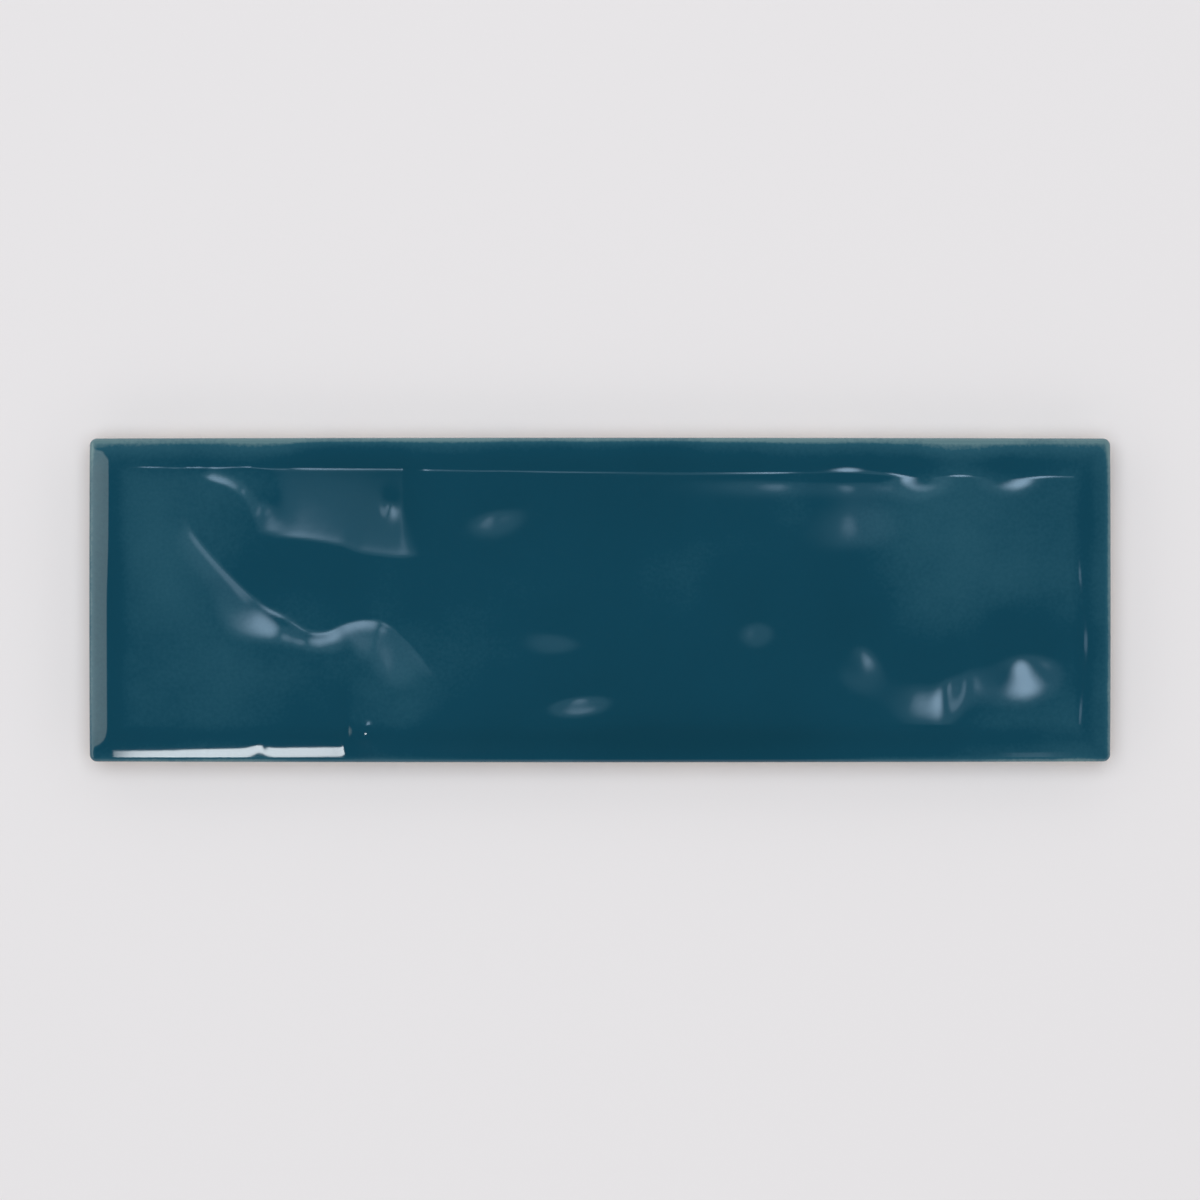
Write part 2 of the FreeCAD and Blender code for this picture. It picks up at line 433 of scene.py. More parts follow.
@dataclass
class GlazedTile:
    """The tile's mesh: a grid over the face, then rings of points down round the outside."""

    form: TileForm
    lay_and_painted_light: GlazeLayAndPaintedLight = GlazeLayAndPaintedLight()
    inner_margin: float = 2.4
    corner_stretch: float = 12.0
    face_rings: int = 6
    arris_rings: int = 7
    side_rings: int = 4
    step_middle: float = 0.48
    step_rim: float = 0.38
    step_corner: float = 0.22
    rim_zone: float = 7.0
    corner_zone: float = 2.0
    first_tilt: float = 0.3
    least_slope: float = 0.02
    most_slope: float = 1.5
    slope_step: float = 0.05
    glaze_line: float = 2.1
    glaze_line_wander: float = 0.55
    glaze_line_waves: tuple[tuple[float, int, float], ...] = (
        (0.50, 5, 0.6), (0.30, 13, 2.1), (0.22, 29, 4.0), (0.12, 67, 1.3), (0.08, 131, 5.2),
    )
    glaze_thickness: float = 0.14
    side_pool: float = 0.55
    lip_height: float = 0.45
    lip_shares: tuple[float, ...] = (0.5, 0.85, 1.0)
    lean_blend: float = 1.0
    clay_shares: tuple[float, ...] = (0.35, 0.7, 1.0)
    chamfer_shares: tuple[float, ...] = (0.5, 1.0)
    chamfer_bulge: float = 0.15

    def stations(self, half: float) -> np.ndarray:
        """Places along one side of the grid, closer together towards its ends.

        Args:
            half: Half of the grid's length that way.

        Returns:
            Places from -half to half.
        """
        places = [half]
        while places[-1] > 0.0:
            from_end = half - places[-1]
            step = self.step_corner if from_end < self.corner_zone else self.step_rim
            step = self.step_middle if from_end > self.rim_zone else step
            places.append(places[-1] - step)
        positive = np.array(places[:-1]) - min(places[-2], 0.0)
        positive = positive[positive > self.step_corner]
        return np.concatenate((-positive, [0.0], positive[::-1]))

    def perimeter(self) -> tuple[np.ndarray, Outline]:
        """The points of the grid's border, and the outline that they lead to."""
        form = self.form
        half_x = form.length / 2 - form.short_side_bow
        half_y = form.width / 2 - form.long_side_bow
        inner_x = self.stations(half_x - self.inner_margin)
        inner_y = self.stations(half_y - self.inner_margin)
        sides = [
            (inner_x, half_x, half_y, 0.0, form.long_side_bow),
            (inner_y, half_y, half_x, 90.0, form.short_side_bow),
            (inner_x, half_x, half_y, 180.0, form.long_side_bow),
            (inner_y, half_y, half_x, 270.0, form.short_side_bow),
        ]
        border, outline, outward = [], [], []
        for places, half, reach, turn, bow in sides:
            along = places[:-1]
            inner = np.column_stack((along, np.full(len(along), -(reach - self.inner_margin))))
            edge, normal = self.outline_side(along, half, reach, bow)
            cosine, sine = math.cos(math.radians(turn)), math.sin(math.radians(turn))
            spin = np.array(((cosine, sine), (-sine, cosine)))
            border.append(inner @ spin)
            outline.append(edge @ spin)
            outward.append(normal @ spin)
        return np.concatenate(border), Outline(np.concatenate(outline), np.concatenate(outward))

    def outline_side(self, along: np.ndarray, half: float, reach: float,
                     bow: float) -> tuple[np.ndarray, np.ndarray]:
        """Points of the outline's lower side, from the middle of one corner to that of the next.

        Args:
            along: Places along the grid's border that the points belong to.
            half: Half of the side's length.
            reach: Distance of the side from the middle of the tile.
            bow: How far its middle stands proud of its ends.

        Returns:
            The points and their outward directions.
        """
        radius = self.form.corner_radius
        straight = half - radius
        end = straight + radius * math.pi / 4
        grid_end = half - self.inner_margin
        kept = grid_end - self.corner_stretch
        stretch = (end - kept) / (grid_end - kept)
        size = np.abs(along)
        run = np.where(size > kept, kept + (size - kept) * stretch, size)
        angle = np.clip(run - straight, 0.0, None) / radius
        x = np.sign(along) * (np.minimum(run, straight) + radius * np.sin(angle))
        y = -(reach - radius + radius * np.cos(angle)) - bow * (1.0 - (x / half) ** 2)
        normal = np.column_stack((np.sign(along) * np.sin(angle), -np.cos(angle)))
        return np.column_stack((x, y)), normal

    def glaze_edge(self, outline: Outline) -> np.ndarray:
        """Height of the line where the glaze stops, wandering round the sides."""
        gaps = np.linalg.norm(np.roll(outline.points, -1, axis=0) - outline.points, axis=1)
        run = np.concatenate(([0.0], np.cumsum(gaps)[:-1])) / gaps.sum() * 2 * math.pi
        wander = sum(share * np.sin(count * run + phase) for share, count, phase in self.glaze_line_waves)
        return self.glaze_line + self.glaze_line_wander * wander

    def arris(self, outline: Outline) -> tuple[np.ndarray, np.ndarray, np.ndarray]:
        """Fit the rounded arris to the face.

        Args:
            outline: The tile's outline.

        Returns:
            At each point, the face's tilt where the arris starts, how far in that is, and the
            height of the middle of the arris's arc.
        """
        radius = self.form.arris_radius

        def height_at(inset: np.ndarray) -> np.ndarray:
            """Height of the face at the outline's points, each moved in."""
            place = outline.moved_in(inset)
            return self.form.face_height(place[:, 0], place[:, 1])

        tilt = np.full(len(outline.points), self.first_tilt)
        for _ in range(4):
            inset = radius * (1.0 - np.sin(tilt))
            rise = height_at(inset + self.slope_step) - height_at(inset - self.slope_step)
            tilt = np.arctan(np.clip(rise / (2 * self.slope_step), self.least_slope, self.most_slope))
        inset = radius * (1.0 - np.sin(tilt))
        return tilt, inset, height_at(inset) - radius * np.cos(tilt)

    def glazed_side(self, outline: Outline, arris_foot: np.ndarray, edge: np.ndarray) -> list[np.ndarray]:
        """Rings down the glazed part of the sides, ending in the glaze's rounded lip.

        Args:
            outline: The tile's outline.
            arris_foot: Height at each point where the arris ends.
            edge: Height at each point where the glaze stops.

        Returns:
            The rings, from the top down.
        """
        form = self.form
        lip_top = edge + self.lip_height
        rings = []
        for i in range(1, self.side_rings + 1):
            height = arris_foot + (lip_top - arris_foot) * (i / self.side_rings)
            lean = np.clip((arris_foot - height) / self.lean_blend, 0.0, 1.0)
            rings.append(outline.ring(form.side_inset(height) * lean, height))
        for share in self.lip_shares:
            height = lip_top - self.lip_height * share
            drop = self.glaze_thickness * (1.0 - math.sqrt(1.0 - share * share))
            rings.append(outline.ring(form.side_inset(height) + drop, height))
        return rings

    def bare_side(self, outline: Outline, edge: np.ndarray) -> list[np.ndarray]:
        """Rings down the bare clay of the sides and round the chamfer at the back.

        Args:
            outline: The tile's outline.
            edge: Height at each point where the glaze stops.

        Returns:
            The rings, from the top down.
        """
        form = self.form
        rings = []
        for share in self.clay_shares:
            height = edge + (form.back_chamfer - edge) * share
            rings.append(outline.ring(form.side_inset(height) + self.glaze_thickness, height))
        for share in self.chamfer_shares:
            height = np.full(len(edge), form.back_chamfer * (1.0 - share))
            depth = form.side_inset(height) + self.glaze_thickness + form.back_chamfer * share
            rings.append(outline.ring(depth - self.chamfer_bulge * math.sin(math.pi * share), height))
        return rings

    def rings(self) -> tuple[np.ndarray, list[np.ndarray], int]:
        """Rings of points from the grid's border down to the back.

        Returns:
            The border's points, the rings and the number of rings that the glaze covers.
        """
        form = self.form
        radius = form.arris_radius
        border, outline = self.perimeter()
        tilt, inset, arc_middle = self.arris(outline)
        start = outline.moved_in(inset)
        rings = []
        for i in range(1, self.face_rings + 1):
            place = border + (start - border) * (i / self.face_rings)
            rings.append(np.column_stack((place, form.face_height(place[:, 0], place[:, 1]))))
        for i in range(1, self.arris_rings + 1):
            angle = tilt + (math.pi / 2 - tilt) * (i / self.arris_rings)
            rings.append(outline.ring(radius * (1.0 - np.sin(angle)), arc_middle + radius * np.cos(angle)))
        edge = self.glaze_edge(outline)
        rings += self.glazed_side(outline, arc_middle, edge)
        return border, rings + self.bare_side(outline, edge), len(rings)

    def glaze_depth_and_painted_light(self, points: np.ndarray, grid_count: int, ring_size: int, glazed: int) -> np.ndarray:
        """How thick the glaze lies at each point, thicker down the sides as it runs, with painted sheen and
        shade laid in.

        Args:
            points: The mesh's points in millimetres, grid first and rings after it.
            grid_count: How many of them are the grid's.
            ring_size: How many points a ring has.
            glazed: How many rings the glaze covers.

        Returns:
            One value for each point.
        """
        depth = self.lay_and_painted_light.at(self.form, points[:, 0], points[:, 1])
        first_side = grid_count + ring_size * (self.face_rings + self.arris_rings)
        last = grid_count + ring_size * glazed
        fall = np.linspace(0.0, 1.0, glazed - self.face_rings - self.arris_rings)
        depth[first_side:last] += np.repeat(self.side_pool * fall, ring_size)
        return np.clip(depth, 0.0, 1.0)

    def build(self) -> bpy.types.Object:
        """Build the tile without its key pattern.

        Returns:
            An object with the mesh, its two slots' faces marked and the glaze's depth stored, with painted
            sheen and shade in it.
        """
        form = self.form
        border, rings, glazed = self.rings()
        inner_x = self.stations(form.length / 2 - form.short_side_bow - self.inner_margin)
        inner_y = self.stations(form.width / 2 - form.long_side_bow - self.inner_margin)
        grid_x, grid_y = np.meshgrid(inner_x, inner_y)
        grid_z = form.face_height(grid_x, grid_y)
        grid = np.column_stack((grid_x.ravel(), grid_y.ravel(), grid_z.ravel()))
        columns, rows = len(inner_x), len(inner_y)
        number = np.arange(columns * rows).reshape(rows, columns)
        around = np.concatenate(
            (number[0, :-1], number[:-1, -1], number[-1, :0:-1], number[:0:-1, 0])
        )
        points = np.concatenate([grid] + rings)
        quads = (number[:-1, :-1], number[:-1, 1:], number[1:, 1:], number[1:, :-1])
        faces = np.column_stack([corner.ravel() for corner in quads]).tolist()
        slots = [int(Slot.GLAZE)] * len(faces)
        above = around
        for i in range(len(rings)):
            below = len(grid) + i * len(around) + np.arange(len(around))
            band = np.column_stack((above, below, np.roll(below, -1), np.roll(above, -1)))
            faces += band.tolist()
            slots += [int(Slot.GLAZE if i < glazed else Slot.CLAY)] * len(band)
            above = below
        faces.append(above[::-1].tolist())
        slots.append(int(Slot.CLAY))
        mesh = bpy.data.meshes.new("tile")
        mesh.from_pydata((points * MM).tolist(), [], faces)
        mesh.polygons.foreach_set("material_index", slots)
        mesh.polygons.foreach_set("use_smooth", [True] * (len(faces) - 1) + [False])
        depth = self.glaze_depth_and_painted_light(points, len(grid), len(around), glazed)
        mesh.attributes.new("glaze_depth_and_painted_light", "FLOAT", "POINT").data.foreach_set("value", depth)
        mesh.update()
        tile = bpy.data.objects.new("tile", mesh)
        bpy.context.scene.collection.objects.link(tile)
        return tile


@dataclass
class KeyPattern:
    """The shallow pockets of the back, which give the adhesive a hold."""

    field_length: float = 188.0
    field_width: float = 53.0
    rib: float = 2.2
    columns: int = 8
    rows: int = 4
    corner_radius: float = 1.2
    corner_steps: int = 4
    depth: float = 0.6
    draft: float = 0.3
    overrun: float = 0.3
    merge_distance: float = 0.01

    def tree(self, clay: bpy.types.Material) -> bpy.types.GeometryNodeTree:
        """Build the tree that presses the pockets into the mesh that it is given.

        Args:
            clay: The material of the pockets' walls and floors.

        Returns:
            The tree, with the sizes as named inputs.
        """
        tree = bpy.data.node_groups.new("Key pattern", "GeometryNodeTree")
        face = tree.interface
        face.new_socket("Geometry", in_out="INPUT", socket_type="NodeSocketGeometry")
        for name in ("Pocket length", "Pocket width", "Rib", "Corner radius", "Depth", "Draft share"):
            face.new_socket(name, in_out="INPUT", socket_type="NodeSocketFloat")
        for name in ("Columns", "Rows"):
            face.new_socket(name, in_out="INPUT", socket_type="NodeSocketInt")
        face.new_socket("Geometry", in_out="OUTPUT", socket_type="NodeSocketGeometry")
        given = add_node(tree, "NodeGroupInput").outputs

        def maths(operation: str, first: object, second: object) -> bpy.types.NodeSocket:
            """The result of one operation on two values or sockets."""
            inputs = {0: first, 1: second}
            return add_node(tree, "ShaderNodeMath", {"operation": operation}, inputs).outputs[0]

        outline = add_node(tree, "GeometryNodeCurvePrimitiveQuadrilateral", {"mode": "RECTANGLE"},
                           {"Width": given["Pocket length"], "Height": given["Pocket width"]})
        rounded = add_node(tree, "GeometryNodeFilletCurve", {"mode": "POLY"},
                           {"Curve": outline.outputs[0], "Count": self.corner_steps,
                            "Radius": given["Corner radius"], "Limit Radius": True})
        mouth = add_node(tree, "GeometryNodeFillCurve", {"mode": "NGONS"}, {"Curve": rounded.outputs[0]})
        depth = maths("ADD", given["Depth"], self.overrun * MM)
        raised = add_node(tree, "GeometryNodeExtrudeMesh",
                          inputs={"Mesh": mouth.outputs[0], "Offset Scale": depth, "Individual": True})
        up = add_node(tree, "ShaderNodeCombineXYZ", inputs={"Z": 1.0})
        tree.links.new(up.outputs[0], raised.inputs["Offset"])
        narrowed = add_node(tree, "GeometryNodeScaleElements",
                            inputs={"Geometry": raised.outputs["Mesh"], "Selection": raised.outputs["Top"],
                                    "Scale": given["Draft share"]})
        under = add_node(tree, "GeometryNodeFlipFaces", inputs={"Mesh": mouth.outputs[0]})
        join = add_node(tree, "GeometryNodeJoinGeometry")
        tree.links.new(under.outputs[0], join.inputs[0])
        tree.links.new(narrowed.outputs[0], join.inputs[0])
        closed = add_node(tree, "GeometryNodeMergeByDistance",
                          inputs={"Geometry": join.outputs[0], "Distance": self.merge_distance * MM})
        lowered = add_node(tree, "GeometryNodeTransform",
                           inputs={"Geometry": closed.outputs[0], "Translation": (0, 0, -self.overrun * MM)})
        pitch_x = maths("ADD", given["Pocket length"], given["Rib"])
        pitch_y = maths("ADD", given["Pocket width"], given["Rib"])
        span_x = maths("MULTIPLY", pitch_x, maths("SUBTRACT", given["Columns"], 1.0))
        span_y = maths("MULTIPLY", pitch_y, maths("SUBTRACT", given["Rows"], 1.0))
        places = add_node(tree, "GeometryNodeMeshGrid",
                          inputs={"Size X": span_x, "Size Y": span_y, "Vertices X": given["Columns"],
                                  "Vertices Y": given["Rows"]})
        pockets = add_node(tree, "GeometryNodeInstanceOnPoints",
                           inputs={"Points": places.outputs["Mesh"], "Instance": lowered.outputs[0]})
        realized = add_node(tree, "GeometryNodeRealizeInstances", inputs={"Geometry": pockets.outputs[0]})
        flat = add_node(tree, "GeometryNodeSetShadeSmooth",
                        inputs={"Geometry": realized.outputs[0], "Shade Smooth": False})
        dressed = add_node(tree, "GeometryNodeSetMaterial",
                           inputs={"Geometry": flat.outputs[0], "Material": clay})
        pressed = add_node(tree, "GeometryNodeMeshBoolean", {"operation": "DIFFERENCE", "solver": "EXACT"},
                           {"Mesh 1": given["Geometry"], "Mesh 2": dressed.outputs[0]})
        add_node(tree, "NodeGroupOutput", inputs={0: pressed.outputs["Mesh"]})
        return tree

    def press(self, tile: bpy.types.Object, clay: bpy.types.Material) -> bpy.types.Object:
        """Press the pockets into the tile's back.

        Args:
            tile: The tile with its materials, and a plain back.
            clay: The material of the pockets.

        Returns:
            A new object with a plain mesh, which takes the tile's place.
        """
        modifier = tile.modifiers.new("Key pattern", "NODES")
        modifier.node_group = self.tree(clay)
        pocket_length = (self.field_length - (self.columns - 1) * self.rib) / self.columns
        pocket_width = (self.field_width - (self.rows - 1) * self.rib) / self.rows
        sizes = {
            "Pocket length": pocket_length * MM,
            "Pocket width": pocket_width * MM,
            "Rib": self.rib * MM,
            "Corner radius": self.corner_radius * MM,
            "Depth": self.depth * MM,
            "Draft share": 1.0 - 2 * self.draft / pocket_width,
            "Columns": self.columns,
            "Rows": self.rows,
        }
        for socket in modifier.node_group.interface.items_tree:
            if socket.in_out == "INPUT" and socket.name in sizes:
                modifier[socket.identifier] = sizes[socket.name]
        evaluated = tile.evaluated_get(bpy.context.evaluated_depsgraph_get())
        mesh = bpy.data.meshes.new_from_object(evaluated, preserve_all_data_layers=True,
                                               depsgraph=bpy.context.evaluated_depsgraph_get())
        tile.modifiers.clear()
        pressed = bpy.data.objects.new("glazed_tile_fired", mesh)
        bpy.context.scene.collection.objects.link(pressed)
        bpy.data.objects.remove(tile)
        return pressed


@dataclass(frozen=True)
class TealGlaze:
    """A lead-free gloss glaze, flooded over the face and fired.

    It is glass, so it mirrors lamps sharply. It is see-through over a pale body, so it is deep
    where it pools and paler where it runs thin over the arris.
    """

    # The thin colour also paints the sheen at the tile's ends, and the pooled colour paints the shade along
    # the rim and the lower middle.
    pooled: str = "#043C4E"
    plain: str = "#074256"
    thin: str = "#245668"
    broken: str = "#5E7F86"
    pooled_from: float = 0.85
    plain_at: float = 0.42
    thin_at: float = 0.16
    ior: float = 1.5
    roughness: float = 0.045
    clouds_mm: float = 26.0
    clouds_change: float = 0.10
    speckle_mm: float = 0.7
    speckle_change: float = 0.03
    orange_peel_mm: float = 5.0
    orange_peel_height: float = 0.004

    def material(self) -> bpy.types.Material:
        """Make the glaze's material."""
        material, tree = new_material("Teal gloss glaze")
        place = add_node(tree, "ShaderNodeTexCoord").outputs["Object"]
        # The attribute holds the glaze's depth with painted light in it: the ends are painted paler, and the
        # rim and the lower middle darker.
        depth = add_node(tree, "ShaderNodeAttribute", {"attribute_name": "glaze_depth_and_painted_light"}).outputs["Fac"]
        clouds = add_node(tree, "ShaderNodeTexNoise",
                          inputs={"Vector": place, "Scale": per_mm(self.clouds_mm), "Detail": 3.0})
        speckle = add_node(tree, "ShaderNodeTexNoise",
                           inputs={"Vector": place, "Scale": per_mm(self.speckle_mm), "Detail": 2.0})
        for noise, change in ((clouds, self.clouds_change), (speckle, self.speckle_change)):
            varied = add_node(tree, "ShaderNodeMapRange",
                              inputs={"Value": noise.outputs["Fac"], "From Min": NOISE_LOW,
                                      "From Max": NOISE_HIGH, "To Min": -change, "To Max": change})
            depth = add_node(tree, "ShaderNodeMath", {"operation": "ADD"},
                             {0: depth, 1: varied.outputs["Result"]}).outputs[0]
        ramp = add_node(tree, "ShaderNodeValToRGB", inputs={"Fac": depth})
        stops = ramp.color_ramp.elements
        stops[0].position, stops[0].color = 0.0, linear(self.broken)
        stops[1].position, stops[1].color = self.pooled_from, linear(self.pooled)
        for position, colour in ((self.thin_at, self.thin), (self.plain_at, self.plain)):
            stops.new(position).color = linear(colour)
        peel = add_node(tree, "ShaderNodeTexNoise",
                        inputs={"Vector": place, "Scale": per_mm(self.orange_peel_mm), "Detail": 2.5})
        bump = add_node(tree, "ShaderNodeBump",
                        inputs={"Height": peel.outputs["Fac"], "Strength": 1.0,
                                "Distance": self.orange_peel_height * MM})
        shader = add_node(tree, "ShaderNodeBsdfPrincipled",
                          inputs={"Base Color": ramp.outputs["Color"], "Roughness": self.roughness,
                                  "IOR": self.ior, "Normal": bump.outputs["Normal"]})
        add_node(tree, "ShaderNodeOutputMaterial", inputs={"Surface": shader.outputs[0]})
        return material


@dataclass(frozen=True)
class FiredClay:
    """The bare biscuit of the sides and back: pressed clay powder, pale, chalky and dull."""

    light: str = "#D9C8B4"
    dark: str = "#C2AC95"
    spot: str = "#8E7762"
    ior: float = 1.5
    roughness: float = 0.88
    clouds_mm: float = 14.0
    grain_mm: float = 0.35
    grain_height: float = 0.02
    grain_strength: float = 0.8
    spot_mm: float = 1.6
    spot_core: float = 0.06
    spot_rim: float = 0.14
    spot_strength: float = 0.55

    def material(self) -> bpy.types.Material:
        """Make the clay's material."""
        material, tree = new_material("Fired clay")
        place = add_node(tree, "ShaderNodeTexCoord").outputs["Object"]
        clouds = add_node(tree, "ShaderNodeTexNoise",
                          inputs={"Vector": place, "Scale": per_mm(self.clouds_mm), "Detail": 4.0})
        ramp = add_node(tree, "ShaderNodeValToRGB", inputs={"Fac": clouds.outputs["Fac"]})
        stops = ramp.color_ramp.elements
        stops[0].position, stops[0].color = NOISE_LOW, linear(self.dark)
        stops[1].position, stops[1].color = NOISE_HIGH, linear(self.light)
        spots = add_node(tree, "ShaderNodeTexVoronoi",
                         inputs={"Vector": place, "Scale": per_mm(self.spot_mm)})
        spotted = add_node(tree, "ShaderNodeMapRange",
                           inputs={"Value": spots.outputs["Distance"], "From Min": self.spot_core,
                                   "From Max": self.spot_rim, "To Min": self.spot_strength, "To Max": 0.0})
        colour = add_node(tree, "ShaderNodeMix", {"data_type": "RGBA"},
                          {0: spotted.outputs["Result"], 6: ramp.outputs["Color"], 7: linear(self.spot)})
        grain = add_node(tree, "ShaderNodeTexNoise",
                         inputs={"Vector": place, "Scale": per_mm(self.grain_mm), "Detail": 3.0})
        bump = add_node(tree, "ShaderNodeBump",
                        inputs={"Height": grain.outputs["Fac"], "Strength": self.grain_strength,
                                "Distance": self.grain_height * MM})
        shader = add_node(tree, "ShaderNodeBsdfPrincipled",
                          inputs={"Base Color": colour.outputs[2], "Roughness": self.roughness,
                                  "IOR": self.ior, "Normal": bump.outputs["Normal"]})
        add_node(tree, "ShaderNodeOutputMaterial", inputs={"Surface": shader.outputs[0]})
        return material


@dataclass(frozen=True)
class Glow:
    """One part of a lamp's glow: how far out it reaches, how soft its edge is and its level."""

    edge: float
    soft: float
    level: float


@dataclass(frozen=True)
class Lamp:
    """A flat softbox or window, brighter in its middle.

    The glaze mirrors it. The camera doesn't see it, and the floor gets no light from it.
    """

    name: str
    middle: tuple[float, float, float]
    half_across: tuple[float, float, float]
    half_up: tuple[float, float, float]
    glows: tuple[Glow, ...]
    tint: tuple[float, float, float] = (0.75, 1.0, 1.28)
    shape: Shape = Shape.ROUND

    def build(self) -> bpy.types.Object:
        """Build the lamp as a glowing sheet."""
        reach = max(g.edge + g.soft for g in self.glows)
        across, up = Vector(self.half_across), Vector(self.half_up)
        signs = ((-1, -1), (1, -1), (1, 1), (-1, 1))
        corners = [(Vector(self.middle) + across * a * reach + up * b * reach) * MM for a, b in signs]
        mesh = bpy.data.meshes.new(self.name)
        mesh.from_pydata(corners, [], [(0, 1, 2, 3)])
        layer = mesh.uv_layers.new(name="Glow")
        for loop, (a, b) in zip(layer.data, signs):
            loop.uv = (a * reach, b * reach)
        mesh.materials.append(self.material())
        lamp = bpy.data.objects.new(self.name, mesh)
        lamp.visible_camera = False
        lamp.visible_diffuse = False
        bpy.context.scene.collection.objects.link(lamp)
        return lamp

    def material(self) -> bpy.types.Material:
        """Make the light of the lamp, which fades from its middle."""
        material, tree = new_material(self.name)
        place = add_node(tree, "ShaderNodeUVMap", {"uv_map": "Glow"}).outputs["UV"]
        split = add_node(tree, "ShaderNodeSeparateXYZ", inputs={"Vector": place})
        if self.shape is Shape.ROUND:
            away = add_node(tree, "ShaderNodeVectorMath", {"operation": "LENGTH"},
                            {0: place}).outputs["Value"]
        else:
            sizes = []
            for axis in ("X", "Y"):
                sizes.append(add_node(tree, "ShaderNodeMath", {"operation": "ABSOLUTE"},
                                      {0: split.outputs[axis]}).outputs[0])
            away = add_node(tree, "ShaderNodeMath", {"operation": "MAXIMUM"},
                            {0: sizes[0], 1: sizes[1]}).outputs[0]
        total = None
        for glow in self.glows:
            fade = add_node(tree, "ShaderNodeMapRange", {"interpolation_type": "SMOOTHSTEP"},
                            {"Value": away, "From Min": glow.edge - glow.soft,
                             "From Max": glow.edge + glow.soft, "To Min": glow.level, "To Max": 0.0})
            level = fade.outputs["Result"]
            if total is not None:
                level = add_node(tree, "ShaderNodeMath", {"operation": "ADD"},
                                 {0: total, 1: level}).outputs[0]
            total = level
        light = add_node(tree, "ShaderNodeEmission", inputs={"Color": (*self.tint, 1.0), "Strength": total})
        clear = add_node(tree, "ShaderNodeBsdfTransparent")
        both = add_node(tree, "ShaderNodeAddShader", inputs={0: light.outputs[0], 1: clear.outputs[0]})
        add_node(tree, "ShaderNodeOutputMaterial", inputs={"Surface": both.outputs[0]})
        return material


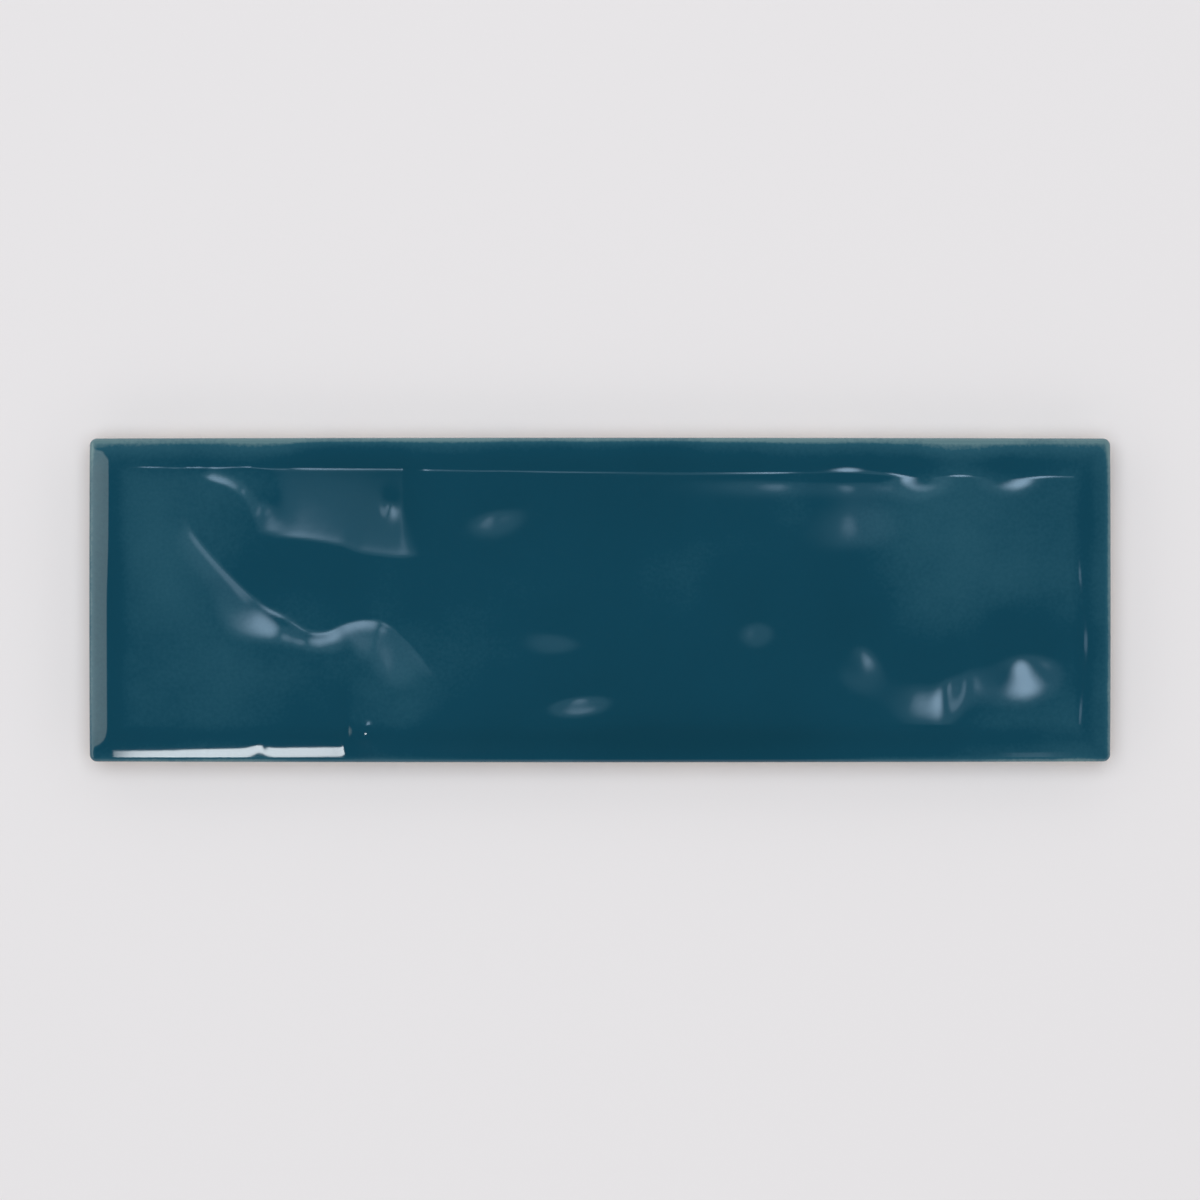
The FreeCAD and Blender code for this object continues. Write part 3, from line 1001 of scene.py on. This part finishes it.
@dataclass
class Studio:
    """A plain pale floor under soft daylight, and a camera that looks straight down.

    The room's light is given for the horizon and for overhead, and changes between two heights
    above the horizon in degrees. The picture shows a width of the plane on which the tile lies.
    """

    floor_colour: str = "#ECEAEC"
    floor_half: float = 3000.0
    floor_gap: float = 0.1
    camera_height: float = 1400.0
    frame_width: float = 233.5
    sensor: float = 36.0
    horizon: float = 0.7
    overhead: float = 0.10
    band_low: float = 30.0
    band_high: float = 48.0
    fill_power: float = 19.0
    fill_size: float = 1600.0
    fill_place: tuple[float, float, float] = (-40.0, 120.0, 1500.0)
    lamps: tuple[Lamp, ...] = (
        Lamp("Left window", (-124, 196, 1400), (74, 0, 0), (0, 75, 0), (Glow(0.7, 0.45, 4.5),)),
        Lamp("Right window", (116, 196, 1400), (74, 0, 0), (0, 75, 0), (Glow(0.7, 0.45, 6.0),)),
        Lamp("Pane", (-22, 140, 1400), (34, 0, 0), (0, 34, 0), (Glow(0.7, 0.4, 1.6),)),
        Lamp("Haze", (0, 152, 1410), (300, 0, 0), (0, 84, 0), (Glow(0.8, 0.28, 0.50),), (0.55, 1.0, 1.25)),
        Lamp("Key", (-121, -560, 860), (43, 0, 0), (0, 30, 22), (Glow(0.9, 0.1, 15.0),),
             (0.95, 1.0, 1.03), Shape.SQUARE),
        Lamp("Right key", (144, -575, 849), (9, 0, 0), (0, 19, 14), (Glow(0.8, 0.3, 0.9),),
             (0.75, 1.0, 1.20), Shape.SQUARE),
        Lamp("Left panel", (-1000, 0, 800), (0, 700, 0), (260, 0, 330), (Glow(0.9, 0.1, 1.9),),
             (0.93, 1.03, 0.94), Shape.SQUARE),
        Lamp("Right slit", (600, -20, 1400), (70, 0, 0), (0, 20, 0), (Glow(0.7, 0.3, 1.5),)),
    )

    def floor(self) -> bpy.types.Object:
        """Lay the floor just under the tile."""
        half, low = self.floor_half * MM, -self.floor_gap * MM
        mesh = bpy.data.meshes.new("Floor")
        corners = [(-half, -half, low), (half, -half, low), (half, half, low), (-half, half, low)]
        mesh.from_pydata(corners, [], [(0, 1, 2, 3)])
        material, tree = new_material("Pale floor")
        shader = add_node(tree, "ShaderNodeBsdfDiffuse", inputs={"Color": linear(self.floor_colour)})
        add_node(tree, "ShaderNodeOutputMaterial", inputs={"Surface": shader.outputs[0]})
        mesh.materials.append(material)
        floor = bpy.data.objects.new("Floor", mesh)
        bpy.context.scene.collection.objects.link(floor)
        return floor

    def world(self) -> None:
        """Light the room from low all round, dark overhead as a studio is, and pale to the camera."""
        world = bpy.data.worlds.new("Studio")
        bpy.context.scene.world = world
        world.use_nodes = True
        tree = world.node_tree
        tree.nodes.clear()
        direction = add_node(tree, "ShaderNodeTexCoord").outputs["Generated"]
        split = add_node(tree, "ShaderNodeSeparateXYZ", inputs={"Vector": direction})
        level = add_node(tree, "ShaderNodeMapRange", {"interpolation_type": "SMOOTHSTEP"},
                         {"Value": split.outputs["Z"], "From Min": math.sin(math.radians(self.band_low)),
                          "From Max": math.sin(math.radians(self.band_high)),
                          "To Min": self.horizon, "To Max": self.overhead})
        light = add_node(tree, "ShaderNodeBackground",
                         inputs={"Color": (1.0, 1.0, 1.0, 1.0), "Strength": level.outputs["Result"]})
        seen = add_node(tree, "ShaderNodeBackground",
                        inputs={"Color": linear(self.floor_colour), "Strength": 1.0})
        camera = add_node(tree, "ShaderNodeLightPath").outputs["Is Camera Ray"]
        mix = add_node(tree, "ShaderNodeMixShader",
                       inputs={0: camera, 1: light.outputs[0], 2: seen.outputs[0]})
        add_node(tree, "ShaderNodeOutputWorld", inputs={"Surface": mix.outputs[0]})

    def fill(self) -> None:
        """Hang a broad soft lamp overhead that gives colour its level and isn't mirrored."""
        data = bpy.data.lights.new("Fill", "AREA")
        data.shape = "SQUARE"
        data.size = self.fill_size * MM
        data.energy = self.fill_power
        lamp = bpy.data.objects.new("Fill", data)
        lamp.location = Vector(self.fill_place) * MM
        lamp.rotation_euler = (-lamp.location).to_track_quat("-Z", "Y").to_euler()
        lamp.visible_camera = False
        lamp.visible_glossy = False
        bpy.context.scene.collection.objects.link(lamp)

    def camera(self) -> None:
        """Set the camera square over the face, far enough away to look flat."""
        data = bpy.data.cameras.new("Camera")
        data.sensor_width = self.sensor
        data.lens = self.sensor * self.camera_height / self.frame_width
        camera = bpy.data.objects.new("Camera", data)
        camera.location = (0.0, 0.0, self.camera_height * MM)
        bpy.context.scene.collection.objects.link(camera)
        bpy.context.scene.camera = camera

    def build(self) -> None:
        """Build the whole studio."""
        bpy.context.scene.view_settings.view_transform = "Standard"
        self.floor()
        self.world()
        self.fill()
        self.camera()
        for lamp in self.lamps:
            lamp.build()
        log.info("studio: %d lamps", len(self.lamps))


def main() -> None:
    """Build the studio and the tile, and log the tile's face count."""
    logging.basicConfig(level=logging.INFO, format="%(name)s: %(message)s")
    Studio().build()
    glaze = TealGlaze().material()
    clay = FiredClay().material()
    low, high = (np.array(corner) / MM for corner in CAD_BOX)
    half = np.minimum(-low, high)
    form = TileForm(length=2 * half[0], width=2 * half[1], top=high[2])
    plain = GlazedTile(form).build()
    plain.data.materials.append(glaze)
    plain.data.materials.append(clay)
    tile = KeyPattern().press(plain, clay)
    log.info("glazed_tile_fired: %d faces", len(tile.data.polygons))
    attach(tile, BODY)
    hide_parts(NODE)


if __name__ == "__main__":
    main()
